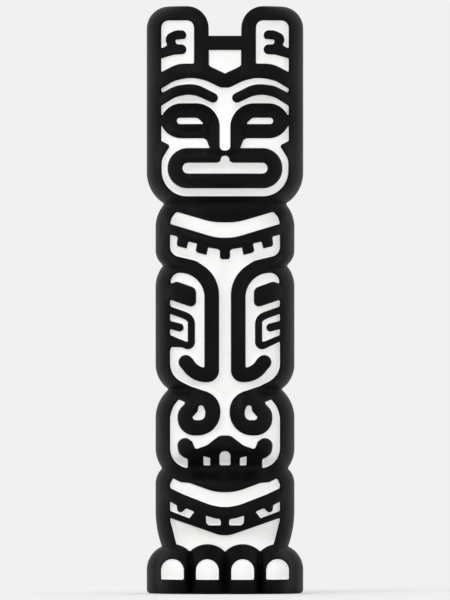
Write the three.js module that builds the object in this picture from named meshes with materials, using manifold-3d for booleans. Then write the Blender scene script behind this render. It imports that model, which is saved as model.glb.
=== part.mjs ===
// A carved cedar totem pole, 3 m tall: one log, carved on the front with four stacked figures.
// Units are millimetres, +Z is up, the front faces -Y, and the origin is the middle of the log's flat foot.
//
// The carving has two levels. The broad forms (ears, brow, nose, lips, wings, snout, toes) shape the log's
// front. On them stand the raised formlines that outline every feature, with the ground cut back between.

import * as THREE from "three";
import { mergeVertices } from "three/addons/utils/BufferGeometryUtils.js";
import Module from "manifold-3d";

// ---------------------------------------------------------------- driving dimensions
const height = 3000;
const headHalf = 400; // half the width over the head and over the foot
const bodyHalf = 355; // half the width of the figures between them
const line = 73; // width of the main formlines
const relief = 18; // how far the formlines stand above the ground between them
const bandRear = -60; // the outline formline ends here, just in front of the widest line of the log
const cutDepth = -40; // the ground's cuts run on to here, behind the end of the formlines
const headInner = headHalf - line - 1; // inner edge of the outline formline on the head
const bodyInner = bodyHalf - line - 1; // and on the body
const crownTop = 2847; // the flat top between the ears
const crownBottom = 2775; // lower edge of the band along it
const earInner = 83; // half the gap between the ears
const earRound = 114; // corner radius of the ears
const earFoot = 100; // how far back the ears reach at their foot
const earTip = -66; // and at their top
const footRound = 20; // eased edge around the foot

// The log's plan is a superellipse, a little fuller than an ellipse.
const planPower = 2.4;
const rearPower = 2.2;

// The stacked figures, from the foot up: where each ends, its half width, the radii of its two shoulders, and
// the half width of the notch that it shares with the figure above.
const figures = [
  { top: 240, half: headHalf, low: 0, high: 131, notch: 323 }, // toes
  { top: 640, half: bodyHalf, low: 540, high: 107, notch: 320 }, // collar and apron
  { top: 1043, half: bodyHalf, low: 163, high: 194, notch: 288 }, // snout with spiral nostrils
  { top: 1677, half: bodyHalf, low: 155, high: 168, notch: 315 }, // folded wings
  { top: 1991, half: bodyHalf, low: 92, high: 181, notch: 310 }, // toothed collar
  { top: height, half: headHalf, low: 188, high: earRound, notch: headHalf - earRound }, // eared head
];

// Depth of the log at the middle of its front and of its rear, at chosen heights.
const frontDepth = profile([
  [0, 352], [60, 362], [140, 352], [215, 326], [300, 308], [400, 334], [500, 350], [570, 346], [640, 290],
  [700, 344], [760, 374], [860, 352], [1000, 332], [1150, 348], [1600, 352], [1760, 358], [1880, 350],
  [1950, 296], [1995, 290], [2050, 352], [2130, 374], [2300, 350], [2440, 330], [2590, 352], [2645, 374],
  [2700, 356], [2775, 338], [2850, 332], [2930, 314], [height, 262],
]);
const rearDepth = profile([
  [0, 352], [180, 350], [240, 326], [320, 334], [560, 338], [640, 318], [720, 336], [960, 338], [1043, 316],
  [1130, 338], [1590, 340], [1677, 320], [1760, 338], [1910, 338], [1991, 320], [2110, 350], [2700, 356],
  [crownTop, 344], [height, 320],
]);

// Faceting: columns across the front as shares of the half width, columns round the rear, rows up the log,
// extra rows as shares of each figure's two shoulders and of the ears' tops, and steps round a corner.
const frontColumns = [0, 0.11, 0.24, 0.4, 0.58, 0.78, 0.93, 1];
const rearColumns = 6;
const rowStep = 76;
const lowShoulderRow = 0.4;
const highShoulderRow = 0.6;
const earTopRow = 0.88;
const arcStep = THREE.MathUtils.degToRad(40);
const earInnerSteps = 4;
const earBackSteps = 6;

// ---------------------------------------------------------------- small functions
function profile(stations) {
  // A smooth curve through [height, value] stations.
  const slope = stations.map((_, i) => {
    const before = stations[Math.max(i - 1, 0)];
    const after = stations[Math.min(i + 1, stations.length - 1)];
    return (after[1] - before[1]) / (after[0] - before[0]);
  });
  return (z) => {
    let i = 0;
    while (i < stations.length - 2 && z > stations[i + 1][0]) i++;
    const [z0, v0] = stations[i];
    const [z1, v1] = stations[i + 1];
    const span = z1 - z0;
    const t = THREE.MathUtils.clamp((z - z0) / span, 0, 1);
    const s = t * t * (3 - 2 * t);
    const lead = t * (1 - t) * (1 - t) * span * slope[i];
    const trail = t * t * (1 - t) * span * slope[i + 1];
    return v0 + (v1 - v0) * s + lead - trail;
  };
}

// 0 at from, 1 at to, with a soft start and end; from may be the larger.
function fade(from, to, value) {
  const t = THREE.MathUtils.clamp((value - from) / (to - from), 0, 1);
  return t * t * (3 - 2 * t);
}

// A shoulder: how far an arc of this radius has drawn in after a run past the straight side.
const drawnIn = (radius, run) => radius - Math.sqrt(Math.max(radius ** 2 - run ** 2, 0));
const shoulderRun = (radius, drop) => Math.sqrt(radius ** 2 - (radius - drop) ** 2);

function halfWidth(z) {
  const i = Math.max(figures.findIndex((f) => z <= f.top), 0);
  const { top, half, low, high, notch } = figures[i];
  const bottom = i ? figures[i - 1].top : 0;
  const highRun = z - (top - shoulderRun(high, half - notch));
  if (highRun > 0) return half - drawnIn(high, highRun);
  if (!i) return half - drawnIn(footRound, Math.max(footRound - z, 0));
  const lowRun = bottom + shoulderRun(low, half - figures[i - 1].notch) - z;
  return lowRun > 0 ? half - drawnIn(low, lowRun) : half;
}

// ---------------------------------------------------------------- broad forms on the front
// They add to the depth of the front at x, the distance from the middle, and z. A negative rise hollows it.
// A pair such as [from, to] is a height or a distance where a form starts and where it is whole.
const everywhere = [-1, 0];

// Rounded hills over ellipses.
const hills = {
  earDish: { x: 240, z: 2815, halfX: 105, halfZ: 150, rise: -32 },
  eyeSocket: { x: 180, z: 2415, halfX: 150, halfZ: 112, rise: -51 },
  eyeball: { x: 178, z: 2412, halfX: 112, halfZ: 66, rise: 46 },
  cheek: { x: 262, z: 2225, halfX: 100, halfZ: 130, rise: 21 },
  wingEye: { x: 215, z: 1530, halfX: 95, halfZ: 75, rise: 27 },
  feathers: { x: 205, z: 1400, halfX: 110, halfZ: 260, rise: -18 },
  wingHook: { x: 200, z: 1170, halfX: 80, halfZ: 60, rise: 22 },
  nostril: { x: 134, z: 922, halfX: 138, halfZ: 140, rise: 54 },
  nostrilPit: { x: 128, z: 918, halfX: 48, halfZ: 52, rise: -27 },
  mustacheCurl: { x: 204, z: 757, halfX: 60, halfZ: 55, rise: 16 },
  teeth: { x: 0, z: 690, halfX: 130, halfZ: 50, rise: -12 },
  apron: { x: 0, z: 290, halfX: 260, halfZ: 80, rise: -18 },
};
const innerToe = { x: 90, z: 100, halfX: 100, halfZ: 158, rise: 58 };
const outerToe = { ...innerToe, x: 262 };

// Soft ridges across the front. Their line bends by bend times the square of the distance from bendAt.
const ridges = {
  brow: { z: 2570, bend: -0.0035, bendAt: 185, half: 40, rise: 27, inner: [10, 70], outer: [345, 250] },
  jaw: { z: 1785, bend: 0.0011, bendAt: 0, half: 38, rise: 19, inner: everywhere, outer: [330, 250] },
  jawDish: { z: 1859, bend: 0.0011, bendAt: 0, half: 30, rise: -16, inner: everywhere, outer: [330, 250] },
  mustache: { z: 765, bend: -0.0006, bendAt: 0, half: 40, rise: 30, inner: everywhere, outer: [300, 220] },
  bib: { z: 400, bend: 0.0011, bendAt: 0, half: 42, rise: 16, inner: everywhere, outer: [330, 250] },
  aboveWings: { z: 1690, bend: 0, bendAt: 0, half: 34, rise: -34, inner: [90, 230], outer: [500, 450] },
  belowWings: { z: 1040, bend: 0, bendAt: 0, half: 34, rise: -34, inner: [90, 230], outer: [500, 450] },
};

// Soft ribs up the front.
const ribs = {
  wingEdge: { x: 67, half: 42, rise: 22, low: [1080, 1160], high: [1690, 1560] },
  breast: { x: 0, half: 30, rise: -14, low: [1060, 1180], high: [1700, 1600] },
  gapInToes: { x: 178, half: 14, rise: -26, low: everywhere, high: [250, 200] },
  gapBetweenFeet: { x: 0, half: 14, rise: -19, low: everywhere, high: [250, 200] },
};

// Level pads whose sides fall away beyond reach, as soft rectangles do.
const pads = {
  lips: { reach: 190, side: 75, z: 2171, half: 92, flatness: 4, rise: 42 },
  mouth: { reach: 175, side: 45, z: 2171, half: 36, flatness: 2, rise: -46 },
};

// The nose widens from the brow down to its tip.
const nose = { brow: 2560, tip: 2280, browHalf: 62, tipHalf: 112, rise: 78 };
const noseEnds = { high: [2600, 2290], low: [2236, 2276] };
const crownPanelDish = { rise: -16, outer: [110, 70], low: [2640, 2690] };

function hillRise(form, x, z) {
  const q = ((x - form.x) / form.halfX) ** 2 + ((z - form.z) / form.halfZ) ** 2;
  return q < 1 ? form.rise * (1 - q) ** 2 * (1 + q) : 0;
}

function ridgeRise(form, x, z) {
  const spine = form.z + form.bend * (x - form.bendAt) ** 2;
  const section = Math.exp(-(((z - spine) / form.half) ** 2));
  return form.rise * section * fade(...form.inner, x) * fade(...form.outer, x);
}

function ribRise(form, x, z) {
  const section = Math.exp(-(((x - form.x) / form.half) ** 2));
  return form.rise * section * fade(...form.low, z) * fade(...form.high, z);
}

function padRise(form, x, z) {
  const beside = Math.max(x - form.reach, 0) / form.side;
  return form.rise * Math.exp(-(beside ** 2) - Math.abs((z - form.z) / form.half) ** form.flatness);
}

function noseRise(x, z) {
  const half = THREE.MathUtils.mapLinear(z, nose.brow, nose.tip, nose.browHalf, nose.tipHalf);
  const round = Math.max(1 - (x / half) ** 2, 0) ** 1.2;
  return nose.rise * round * fade(...noseEnds.high, z) * fade(...noseEnds.low, z);
}

const sumOf = (forms, riseOf, x, z) =>
  Object.values(forms).reduce((sum, form) => sum + riseOf(form, x, z), 0);

function broadForms(x, z) {
  const toes = Math.max(hillRise(innerToe, x, z), hillRise(outerToe, x, z));
  const crownPanel = crownPanelDish.rise * fade(...crownPanelDish.outer, x) * fade(...crownPanelDish.low, z);
  const round = sumOf(hills, hillRise, x, z) + noseRise(x, z) + toes;
  const long = sumOf(ridges, ridgeRise, x, z) + sumOf(ribs, ribRise, x, z) + sumOf(pads, padRise, x, z);
  return round + long + crownPanel;
}

// ---------------------------------------------------------------- the log as a loft
function rowHeights() {
  const rows = [0, footRound / 4, footRound];
  let bottom = footRound;
  let notchBelow = headHalf;
  for (const { top, half, low, high, notch } of figures) {
    const lowEnd = bottom + (low ? shoulderRun(low, half - notchBelow) : 0);
    const highStart = top - shoulderRun(high, half - notch);
    if (low) rows.push(bottom + (lowEnd - bottom) * lowShoulderRow, lowEnd);
    const straight = highStart - lowEnd;
    const straightRows = Math.round(straight / rowStep);
    for (let k = 1; k <= straightRows; k++) rows.push(lowEnd + (straight * k) / straightRows);
    rows.push(highStart + (top - highStart) * highShoulderRow, top);
    if (top === height) rows.splice(-1, 0, highStart + (top - highStart) * earTopRow);
    [bottom, notchBelow] = [top, notch];
  }
  return rows;
}

// Rings of plan points, one above another, closed by a fan at the foot and at the top.
function loft(rings) {
  const size = rings[0].length;
  const positions = rings.flat(2);
  const index = [];
  for (let r = 0; r < rings.length - 1; r++) {
    for (let i = 0; i < size; i++) {
      const a = r * size + i;
      const b = r * size + ((i + 1) % size);
      if (positions[3 * a] + positions[3 * b] > 0) index.push(a, b, b + size, a, b + size, a + size);
      else index.push(a, b, a + size, b, b + size, a + size);
    }
  }
  for (const r of [0, rings.length - 1]) {
    const flat = rings[r].map(([x, y]) => new THREE.Vector2(x, y));
    for (const [a, b, c] of THREE.ShapeUtils.triangulateShape(flat, [])) {
      const [i, j, k] = [a, b, c].map((n) => r * size + n);
      if (r) index.push(i, j, k);
      else index.push(i, k, j);
    }
  }
  const geometry = new THREE.BufferGeometry();
  geometry.setAttribute("position", new THREE.Float32BufferAttribute(positions, 3));
  geometry.setIndex(index);
  return geometry;
}

// Points across the front from left to right, all drawn in by inset. The plan curve is cut off where it comes
// back to endDepth, and the broad forms die out before that.
function frontRow(z, inset, endDepth) {
  const half = halfWidth(z) - inset;
  const depth = frontDepth(z) - inset;
  const reach = 1 - (endDepth / depth) ** planPower;
  const shares = [...frontColumns.slice(1).reverse().map((share) => -share), ...frontColumns];
  return shares.map((signed) => {
    const share = Math.abs(signed);
    const plan = depth * Math.max(1 - reach * share ** planPower, 0) ** (1 / planPower);
    return [signed * half, -plan - broadForms(share * half, z) * fade(1, 0.8, share), z];
  });
}

// Points round the rear from right to left, leaving out the two that the front already has.
function rearRow(z, inset) {
  const half = halfWidth(z) - inset;
  const depth = rearDepth(z) - inset;
  return Array.from({ length: rearColumns - 1 }, (_, i) => {
    const angle = (Math.PI * (i + 1)) / rearColumns;
    const across = Math.sign(Math.cos(angle)) * Math.abs(Math.cos(angle)) ** (2 / rearPower);
    return [half * across, depth * Math.sin(angle) ** (2 / rearPower), z];
  });
}

const rows = rowHeights();
const groundLog = loft(rows.map((z) => [...frontRow(z, relief, 0), ...rearRow(z, relief)]));
const raisedFront = loft(rows.map((z) => frontRow(z, 0, -bandRear)));

// ---------------------------------------------------------------- outlines of the carved design
// A corner is [x, z, radius]; the outline runs from corner to corner and rounds each with its radius.
function outline(corners) {
  const points = [];
  corners.forEach(([x, z, radius = 0], i) => {
    const here = new THREE.Vector2(x, z);
    const before = new THREE.Vector2(...corners.at(i - 1)).sub(here);
    const after = new THREE.Vector2(...corners[(i + 1) % corners.length]).sub(here);
    const turn = Math.PI - Math.abs(before.angleTo(after));
    if (!radius || turn < 0.02) {
      points.push(here);
      return;
    }
    const run = Math.min(radius * Math.tan(turn / 2), before.length(), after.length());
    const start = before.clone().setLength(run).add(here);
    const end = after.clone().setLength(run).add(here);
    const steps = Math.ceil(turn / arcStep);
    for (let k = 0; k <= steps; k++) {
      // a rational arc between the two tangent points
      const t = k / steps;
      const weight = Math.cos(turn / 2);
      const [a, b, c] = [(1 - t) ** 2, 2 * t * (1 - t) * weight, t ** 2];
      const sum = a + b + c;
      points.push(new THREE.Vector2(
        (a * start.x + b * here.x + c * end.x) / sum,
        (a * start.y + b * here.y + c * end.y) / sum,
      ));
    }
  });
  return points.filter((point, i) => point.distanceTo(points.at(i - 1)) > 0.5);
}

// Half an outline, from the middle at one end to the middle at the other, mirrored to the other side.
function acrossMiddle(corners) {
  const other = corners.filter(([x]) => x > 0).map(([x, z, radius]) => [-x, z, radius]).reverse();
  return [outline([...corners, ...other])];
}

// The same outline on the right and on the left.
function onBothSides(corners) {
  return [outline(corners), outline(corners.map(([x, z, radius]) => [-x, z, radius]).reverse())];
}

const disc = (x, z, radius) => [
  [x - radius, z - radius, radius], [x + radius, z - radius, radius],
  [x + radius, z + radius, radius], [x - radius, z + radius, radius],
];

// A bar with one round end, from its round end to its square end.
function bar([x0, z0], [x1, z1], width) {
  const half = width / 2;
  const along = new THREE.Vector2(x1 - x0, z1 - z0).normalize().multiplyScalar(half);
  const [dx, dz] = [along.x, along.y];
  const roundEnd = [[x0 - dx - dz, z0 - dz + dx, half], [x0 - dx + dz, z0 - dz - dx, half]];
  return [...roundEnd, [x1 + dz, z1 - dx], [x1 - dz, z1 + dx]];
}

// ---------------------------------------------------------------- the carved design, right half
// It is laid in layers, each over the one before: ground, formlines, ground inside formlines, and marks.
const stemHalf = 31; // half the width of the breast between the wings
const noseHalf = 28; // half the width of the light strip along the nose
const nailHalf = 59;
const nailBottom = 73;
const nailTop = 179;

const ground = {
  earDish: onBothSides([
    [157, 2704], [157, 2927, 38], [headInner, 2927, 38], [headInner, 2661], [243, 2704, 150],
  ]),
  crownPanel: acrossMiddle([[0, crownBottom], [earInner, crownBottom], [earInner, 2693], [0, 2653]]),
  face: acrossMiddle([
    [0, 2583], [22, 2583, 50], [92, 2617, 120], [170, 2638, 200], [262, 2617, 120], [headInner, 2578],
    [headInner, 2311], [280, 2287], [324, 2218, 80], [324, 2028, 130], [0, 2028],
  ]),
  collar: acrossMiddle([
    [0, 1896], [62, 1896, 300], [248, 1951, 16], [273, 1921, 60], [bodyInner, 1887], [45, 1816, 240],
    [0, 1816],
  ]),
  breastAndWings: acrossMiddle([
    [0, 1757], [27, 1758], [88, 1768], [146, 1789], [190, 1799], [246, 1825], [bodyInner, 1834],
    [bodyInner, 1111, 103], [178, 1059, 150], [96, 1032], [0, 1032],
  ]),
  snout: acrossMiddle([
    [0, 1060], [60, 1060], [100, 1030], [150, 957], [196, 976], [236, 993], [262, 961, 60], [275, 930, 60],
    [bodyInner, 900], [bodyInner, 640, 102], [0, 640],
  ]),
  bib: acrossMiddle([
    [0, 520], [50, 520, 250], [180, 567, 40], [226, 571, 30], [266, 591, 5], [bodyInner, 559],
    [bodyInner, 539], [210, 506, 200], [70, 452, 200], [20, 443.5], [0, 443.5],
  ]),
  apron: acrossMiddle([
    [0, 300], [28, 301, 100], [bodyInner, 389], [bodyInner, 377], [248, 248], [200, 190], [0, 190],
  ]),
};

const formlines = {
  earCurl: onBothSides([
    [222, 2754], [222, 2875], [252, 2875, 50], [292, 2856, 25], [305, 2829, 30], [293, 2800, 6],
    [340, 2772], [340, 2729], [260, 2752, 60],
  ]),
  earCurlTips: [...onBothSides(disc(222, 2851, 24)), ...onBothSides(disc(222, 2778, 24.5))],
  brow: onBothSides([
    [29, 2541, 23], [50, 2499, 23], [140, 2540.5, 120], [190, 2549, 120], [255, 2535, 120], [345, 2479],
    [345, 2544.5], [252, 2591.5, 120], [188, 2599, 150], [140, 2597, 140],
  ]),
  eyeAndNose: onBothSides([
    [noseHalf, 2502, 120], [282, 2502, 108], [338, 2413], [281, 2325, 108], [93, 2325, 26], [87, 2298],
    [74, 2268], [74, 2240], [noseHalf, 2240],
  ]),
  lips: acrossMiddle([[0, 2273], [292, 2273, 101], [292, 2070, 99], [0, 2070]]),
  middleTooth: acrossMiddle([[0, 1790], [25, 1790], [25, 1708], [0, 1708]]),
  innerTooth: onBothSides([[82, 1790], [95, 1730], [150, 1744], [139, 1800]]),
  outerTooth: onBothSides([[183, 1820], [196, 1763], [246, 1776], [237, 1850]]),
  wingEdge: onBothSides([
    [310, 1772], [bodyInner, 1772], [bodyInner, 1730, 51], [148, 1698.5, 80], [stemHalf, 1621, 178],
    [stemHalf, 1081, 60], [156, 1081, 140], [222, 1148, 140], [233, 1183], [200, 1190], [169, 1204],
    [143, 1165, 70], [stemHalf + line, 1152], [stemHalf + line, 1640, 125], [266, 1638.5, 47],
    [284, 1575], [310, 1575],
  ]),
  wingEdgeTip: onBothSides(disc(200, 1182, 36)),
  wingEye: onBothSides([[148, 1457, 26], [148, 1558, 32], [245, 1593, 30], [300, 1575], [300, 1508]]),
  feather: onBothSides([[300, 1473], [154, 1421, 62], [154, 1250, 36], [197, 1249, 25], [300, 1298]]),
  leftFeatherFoot: [outline([
    [-300, 1304], [-300, 1230], [-bodyInner, 1240], [-275, 1260.5, 8], [-221, 1259, 60], [-190, 1250],
    [-190, 1262],
  ])],
  nostril: onBothSides([
    [112, 1037], [24.5, 1008, 101], [24.5, 810, 115], [241, 809, 86], [241, 934, 73], [196, 977],
    [150, 1040],
  ]),
  mustache: acrossMiddle([
    [0, 808], [28, 808, 50], [92, 758, 70], [152, 737, 12], [168, 778], [204, 770], [241, 742],
    [234, 716, 20], [206, 694, 14], [189, 692], [189, 600], [0, 600],
  ]),
  mustacheTip: onBothSides(disc(203.5, 756, 38.5)),
  toes: [...onBothSides(disc(90, 128, 125)), ...onBothSides(disc(269, 128, 125))],
};

const innerGround = {
  earSlot: onBothSides([[190, 2803], [254, 2803, 16], [254, 2828, 8], [190, 2834]]),
  eyeSlot: onBothSides([[104, 2396, 5], [247, 2396, 16], [247, 2430, 16], [139, 2430, 30]]),
  noseTip: acrossMiddle([[0, 2300], [noseHalf, 2300], [noseHalf, 2260, 22], [0, 2260]]),
  mouth: acrossMiddle([[0, 2200], [218, 2200, 28], [218, 2143, 28], [0, 2143]]),
  lipNotch: acrossMiddle([[0, 2236], [24, 2236, 23], [24, 2207], [46, 2199], [0, 2190]]),
  featherDish: onBothSides([[bodyInner, 1430], [225, 1410], [189, 1394, 10], [189, 1282], [bodyInner, 1320]]),
  nostrilPit: onBothSides([
    [100, 886, 30], [157, 886, 15], [170, 899, 4], [139, 934, 15], [136, 963, 12], [112, 963, 12],
    [100, 938, 30],
  ]),
  middleTeeth: acrossMiddle([[0, 730], [29, 730, 28], [29, 655], [0, 655]]),
  sideTeeth: onBothSides([[75, 655], [111, 655], [111, 704], [75, 696]]),
  bibNotch: onBothSides([
    [154, 421], [198, 438, 5], [219, 419, 8], [236, 417, 10], [243, 430], [245, 453, 6], [bodyInner, 472],
    [bodyInner, 422], [181, 385],
  ]),
  bibSlot: onBothSides([[20, 382], [55, 388], [98, 401], [97, 349, 20], [20, 349]]),
  nails: [90, 268].flatMap((x) => onBothSides([
    [x - nailHalf, nailBottom], [x + nailHalf, nailBottom], [x + nailHalf, nailTop, nailHalf - 1],
    [x - nailHalf, nailTop, nailHalf - 1],
  ])),
};

const marks = {
  featherDash: onBothSides(bar([231, 1359], [310, 1380], 39)),
};

// ---------------------------------------------------------------- solids
const wasm = await Module();
wasm.setup();

function solidOf(geometry) {
  const bare = geometry.clone();
  bare.deleteAttribute("normal");
  bare.deleteAttribute("uv");
  const merged = mergeVertices(bare, 1e-4);
  return new wasm.Manifold(new wasm.Mesh({
    numProp: 3,
    vertProperties: Float32Array.from(merged.attributes.position.array),
    triVerts: Uint32Array.from(merged.index.array),
  }));
}

const extruded = (points, depth) =>
  new THREE.ExtrudeGeometry(new THREE.Shape(points), { depth, bevelEnabled: false });

// A prism on an outline in the front view, running along Y between two depths.
function prismThrough(points, nearY, farY) {
  return solidOf(extruded(points, farY - nearY).rotateX(Math.PI / 2).translate(0, farY, 0));
}

function layer(shapes) {
  const prisms = Object.values(shapes).flat().map((points) => prismThrough(points, -2 * headHalf, cutDepth));
  return prisms.reduce((all, prism) => all.add(prism));
}

// The gap between the ears, with their rounded inner shoulders. It runs far past the log each way.
function gapBetweenEars() {
  const shoulder = [];
  for (let k = 0; k <= earInnerSteps; k++) {
    const angle = (Math.PI / 2) * (k / earInnerSteps);
    shoulder.push([earInner + earRound * (1 - Math.cos(angle)), height - earRound * (1 - Math.sin(angle))]);
  }
  const above = [[earInner + earRound, 2 * height], [0, 2 * height]];
  const [gap] = acrossMiddle([[0, crownTop], [earInner, crownTop], ...shoulder, ...above]);
  return prismThrough(gap, -2 * headHalf, 2 * headHalf);
}

// Everything behind the ears' rounded backs, above the flat top of the log.
function spaceBehindEars() {
  const back = [];
  for (let k = 0; k <= earBackSteps; k++) {
    const angle = (Math.PI / 2) * (k / earBackSteps);
    back.push(new THREE.Vector2(
      earTip + (earFoot - earTip) * Math.cos(angle),
      crownTop + (height - crownTop) * Math.sin(angle),
    ));
  }
  back.push(new THREE.Vector2(earTip, 2 * height), new THREE.Vector2(2 * headHalf, 2 * height));
  back.push(new THREE.Vector2(2 * headHalf, crownTop));
  const geometry = extruded(back, 4 * headHalf).rotateX(Math.PI / 2).rotateZ(Math.PI / 2);
  return solidOf(geometry.translate(-2 * headHalf, 0, 0));
}

const cutBack = layer(ground).subtract(layer(formlines)).add(layer(innerGround)).subtract(layer(marks));
const pole = solidOf(raisedFront)
  .subtract(cutBack)
  .add(solidOf(groundLog))
  .subtract(gapBetweenEars())
  .subtract(spaceBehindEars());

function geometryOf(solid) {
  const mesh = solid.getMesh();
  const geometry = new THREE.BufferGeometry();
  geometry.setAttribute("position", new THREE.Float32BufferAttribute(mesh.vertProperties, 3));
  geometry.setIndex(Array.from(mesh.triVerts));
  geometry.computeVertexNormals();
  return geometry;
}

const paintedCedar = new THREE.MeshStandardMaterial({ color: 0xe9e6df, roughness: 0.75, metalness: 0 });
const totemPole = new THREE.Mesh(geometryOf(pole), paintedCedar);
totemPole.name = "totem_pole";

const group = new THREE.Group();
group.add(totemPole);
export default group;
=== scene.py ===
import math

import bmesh
import bpy
import numpy as np
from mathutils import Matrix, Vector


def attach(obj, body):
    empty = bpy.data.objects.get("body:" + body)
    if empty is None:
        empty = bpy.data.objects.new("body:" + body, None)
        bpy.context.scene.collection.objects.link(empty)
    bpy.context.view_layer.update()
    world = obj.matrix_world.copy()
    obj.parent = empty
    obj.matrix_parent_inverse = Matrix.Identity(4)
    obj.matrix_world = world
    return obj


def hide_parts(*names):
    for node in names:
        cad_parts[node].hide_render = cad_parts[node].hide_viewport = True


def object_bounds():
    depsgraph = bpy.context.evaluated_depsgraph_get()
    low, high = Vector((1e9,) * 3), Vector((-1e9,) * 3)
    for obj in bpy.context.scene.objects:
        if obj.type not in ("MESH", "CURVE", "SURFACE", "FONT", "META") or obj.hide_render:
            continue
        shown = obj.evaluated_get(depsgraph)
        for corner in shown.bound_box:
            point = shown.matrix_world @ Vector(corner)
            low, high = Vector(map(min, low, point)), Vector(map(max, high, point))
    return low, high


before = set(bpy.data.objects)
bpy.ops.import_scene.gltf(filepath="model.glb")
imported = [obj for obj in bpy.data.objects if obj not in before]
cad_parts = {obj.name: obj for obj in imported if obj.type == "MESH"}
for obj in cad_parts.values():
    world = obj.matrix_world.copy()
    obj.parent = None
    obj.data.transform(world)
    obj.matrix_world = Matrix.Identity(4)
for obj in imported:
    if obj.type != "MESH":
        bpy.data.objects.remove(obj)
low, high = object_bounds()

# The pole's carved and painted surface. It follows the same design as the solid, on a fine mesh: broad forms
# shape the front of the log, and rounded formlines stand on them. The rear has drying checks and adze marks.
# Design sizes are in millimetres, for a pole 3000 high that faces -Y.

HEIGHT = 3000
SCALE = (high.z - low.z) / HEIGHT  # design millimetres to metres
HEAD_HALF = high.x / SCALE  # half width over the head and the foot
BODY_HALF = 355
LINE = 73  # width of the main formlines
RELIEF = 18  # how far the formlines stand above the ground
PAINT_OVER = 1.3  # how far the black paint and its raised edge run past the drawn line
BAND_REAR = -60  # where the outline formline ends, just in front of the widest line
HEAD_INNER = HEAD_HALF - LINE - 1  # inner side of the outline formline, which is a millimetre wider
BODY_INNER = BODY_HALF - LINE - 1
CROWN_TOP = 2847
CROWN_BOTTOM = 2775
EAR_INNER = 83
EAR_ROUND = 114
FOOT_ROUND = 20
PLAN_POWER = 2.4
REAR_POWER = 2.2
STEM_HALF = 31
NOSE_HALF = 28

# Figures from the foot up: top, half width, radius of the lower and the upper shoulder, half width of the
# notch above. The lowest figure's lower edge is rounded by FOOT_ROUND.
FIGURES = [
    (240, HEAD_HALF, 0, 131, 323),
    (640, BODY_HALF, 540, 107, 320),
    (1043, BODY_HALF, 163, 194, 288),
    (1677, BODY_HALF, 155, 168, 315),
    (1991, BODY_HALF, 92, 181, 310),
    (HEIGHT, HEAD_HALF, 188, EAR_ROUND, HEAD_HALF - EAR_ROUND),
]

# Depth of the front and of the rear in the middle: height, depth.
FRONT_STATIONS = [
    (0, 352), (60, 362), (140, 352), (215, 326), (300, 308), (400, 334), (500, 350), (570, 346), (640, 290),
    (700, 344), (760, 374), (860, 352), (1000, 332), (1150, 348), (1600, 352), (1760, 358), (1880, 350),
    (1950, 296), (1995, 290), (2050, 352), (2130, 374), (2300, 350), (2440, 330), (2590, 352), (2645, 374),
    (2700, 356), (2775, 338), (2850, 332), (2930, 314), (HEIGHT, 262),
]
REAR_STATIONS = [
    (0, 352), (180, 350), (240, 326), (320, 334), (560, 338), (640, 318), (720, 336), (960, 338), (1043, 316),
    (1130, 338), (1590, 340), (1677, 320), (1760, 338), (1910, 338), (1991, 320), (2110, 350), (2700, 356),
    (CROWN_TOP, 344), (HEIGHT, 320),
]

# Mesh fineness
ROW_STEP = 11
FRONT_COLUMNS = 54  # on each half of the front
REAR_COLUMNS = 90
EDGE_ROUND = 10  # rounding of the outline formline's rear edge


# ---------------------------------------------------------------- small functions
def fade(start, end, value):
    """Rises smoothly from 0 where value is start to 1 where it is end."""
    t = np.clip((value - start) / (end - start), 0, 1)
    return t * t * (3 - 2 * t)


def along(stations, z):
    """A smooth curve through (height, value) stations."""
    at, value = np.array(stations, float).T
    before = np.maximum(np.arange(len(at)) - 1, 0)
    after = np.minimum(np.arange(len(at)) + 1, len(at) - 1)
    slope = (value[after] - value[before]) / (at[after] - at[before])
    i = np.clip(np.searchsorted(at, z, side="right") - 1, 0, len(at) - 2)
    span = at[i + 1] - at[i]
    t = np.clip((z - at[i]) / span, 0, 1)
    s = t * t * (3 - 2 * t)
    lead = t * (1 - t) ** 2 * span * slope[i]
    trail = t * t * (1 - t) * span * slope[i + 1]
    return value[i] + (value[i + 1] - value[i]) * s + lead - trail


def drawn_in(radius, run):
    """How far a round shoulder has drawn in at a run past its start."""
    return radius - np.sqrt(np.maximum(radius**2 - np.maximum(run, 0) ** 2, 0))


def shoulder_run(radius, drop):
    """The run that a round shoulder takes to draw in by drop."""
    return math.sqrt(radius**2 - (radius - drop) ** 2)


def half_width(z):
    """Half width of the pole's outline."""
    z = np.asarray(z, float)
    width = np.zeros_like(z)
    bottom, notch_below = 0, 0
    for top, half, low_radius, high_radius, notch in FIGURES:
        inside = (z >= bottom) & (z <= top)
        here = half - drawn_in(high_radius, z - (top - shoulder_run(high_radius, half - notch)))
        if low_radius:
            here -= drawn_in(low_radius, bottom + shoulder_run(low_radius, half - notch_below) - z)
        else:
            here -= drawn_in(FOOT_ROUND, FOOT_ROUND - z)
        width = np.where(inside, here, width)
        bottom, notch_below = top, notch
    return width


# ---------------------------------------------------------------- broad forms
# They add to the depth of the front at x, the distance from the middle, and z. A negative rise hollows it.
# A pair such as (start, whole) is a height or a distance where a form starts and where it is whole.
EVERYWHERE = (-1, 0)

# Rounded hills over ellipses: x, z, half x, half z, rise.
HILLS = [
    (240, 2815, 105, 150, -32),  # dish of the ear
    (180, 2415, 150, 112, -51),  # eye socket
    (178, 2412, 112, 66, 46),  # eyeball
    (262, 2225, 100, 130, 21),  # cheek
    (215, 1530, 95, 75, 27),  # eye of the wing
    (205, 1400, 110, 260, -18),  # feathers
    (200, 1170, 80, 60, 22),  # hook at the foot of the wing
    (134, 922, 138, 140, 54),  # nostril
    (128, 918, 48, 52, -27),  # and its pit
    (204, 757, 60, 55, 16),  # curl of the moustache
    (0, 690, 130, 50, -12),  # teeth
    (0, 290, 260, 80, -18),  # apron
]
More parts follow.
